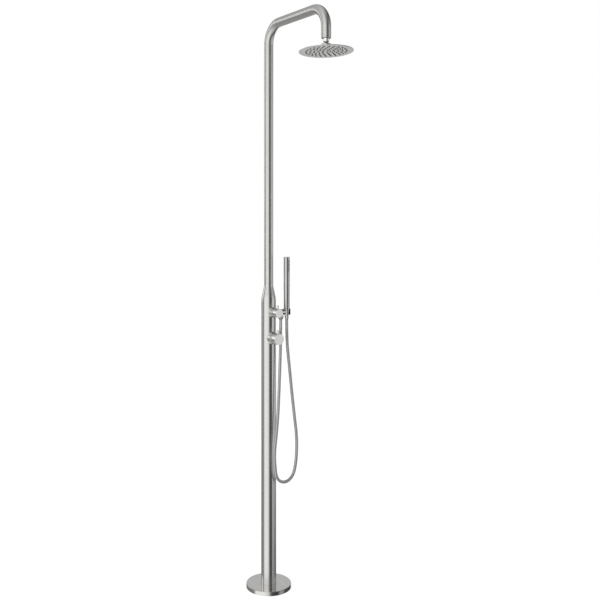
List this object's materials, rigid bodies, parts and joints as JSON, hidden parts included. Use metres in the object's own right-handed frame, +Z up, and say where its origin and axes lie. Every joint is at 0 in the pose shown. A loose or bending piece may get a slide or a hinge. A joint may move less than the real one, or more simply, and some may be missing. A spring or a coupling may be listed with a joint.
{
  "type": "outdoor shower post",
  "caption": "Free-standing brushed steel outdoor shower: stepped post on a round foot, arm with a flat round rain head, knobs, and a handset in a side cradle on a looped hose.",
  "frame": {"origin": "centre of the foot's underside, on the floor and on the post's axis", "axes": "+Z up along the post, -Y to the front, where the arm and the knobs point, +X to the handset's side"},
  "size_m": [0.2132, 0.5777, 2.2744],
  "materials": {
    "steel_brushed": "fine brushing round the tubes",
    "steel_cover": "smooth satin, turned face",
    "steel_knob": "turned face, fine circular brushing",
    "steel_handset": "satin",
    "steel_plate": "satin plate",
    "steel_plain": "plain",
    "steel_polished": "polished",
    "brass_turned": "turned",
    "ceramic_white": "moulded case round ceramic discs",
    "plastic_white": "slippery, moulded",
    "rubber_black": "smooth",
    "liner_black": "moulded",
    "silicone_dark": "soft",
    "spray_grey": "moulded",
    "braid": "woven wire over rubber",
    "hose_silver": "satin silver"
  },
  "bodies": {
    "post": {"floor_flange": "steel_brushed", "post_tube": "steel_brushed", "taper": "steel_brushed", "riser_arm": "steel_brushed", "arm_bush": "steel_plain", "mixer_sleeve": "steel_brushed", "mixer_body": "brass_turned", "mixer_cartridge": "ceramic_white", "diverter_sleeve": "steel_brushed", "diverter_body": "brass_turned", "diverter_cartridge": "ceramic_white", "mixer_cartridge_nut": "brass_turned", "diverter_cartridge_nut": "brass_turned", "cold_supply_nut": "brass_turned", "cold_supply_hose": "braid", "hot_supply_nut": "brass_turned", "hot_supply_hose": "braid", "check_valves": "plastic_white", "link_pipe": "steel_plain", "riser_hose": "rubber_black", "handset_holder": "steel_brushed", "holder_liner": "liner_black", "outlet_nut": "steel_brushed", "outlet_washer": "rubber_black", "shower_hose": "hose_silver", "ball_stem": "steel_polished"},
    "cover": {"base_cover": "steel_cover", "cover_seal": "rubber_black"},
    "mixer_control": {"mixer_knob": "steel_knob", "mixer_spindle": "brass_turned", "mixer_lever": "steel_knob", "mixer_grub_screw": "steel_plain"},
    "diverter_control": {"diverter_knob": "steel_knob", "diverter_spindle": "brass_turned", "diverter_lever": "steel_knob", "diverter_grub_screw": "steel_plain"},
    "seat": {"ball_seat": "plastic_white"},
    "rain_head": {"head_shell": "steel_brushed", "head_collar": "steel_brushed", "face_plate": "steel_plate", "chamber_gasket": "rubber_black", "nozzle_mat": "silicone_dark", "head_nozzles": "silicone_dark"},
    "hose_end": {"handset_nut": "steel_brushed", "handset_washer": "rubber_black"},
    "handset": {"handset_tube": "steel_handset", "handset_cap": "steel_handset", "handset_connector": "brass_turned", "spray_insert": "spray_grey", "handset_nozzles": "silicone_dark"}
  },
  "joints": [
    {"name": "cover_lift", "type": "slide", "parent": "post", "child": "cover", "axis": [0, 0, 1], "range_m": [0, 0.12]},
    {"name": "mixer_turn", "type": "hinge", "parent": "post", "child": "mixer_control", "pos_m": [0, -0.067, 1.003], "axis": [0, -1, 0], "range_deg": [0, 115]},
    {"name": "diverter_turn", "type": "hinge", "parent": "post", "child": "diverter_control", "pos_m": [0, -0.067, 1.106], "axis": [0, -1, 0], "range_deg": [-90, 90]},
    {"name": "head_swivel", "type": "hinge", "parent": "post", "child": "seat", "pos_m": [0, -0.387, 2.106], "axis": [0, 0, 1], "continuous": true},
    {"name": "head_tip", "type": "hinge", "parent": "seat", "child": "rain_head", "pos_m": [0, -0.387, 2.106], "axis": [1, 0, 0], "range_deg": [-12.3, 17.7]},
    {"name": "handset_lift", "type": "slide", "parent": "post", "child": "hose_end", "axis": [0, 0, 1], "range_m": [0, 0.045]},
    {"name": "handset_swivel", "type": "hinge", "parent": "hose_end", "child": "handset", "pos_m": [0.06, -0.041, 1.121], "axis": [0, 0, 1], "continuous": true}
  ]
}
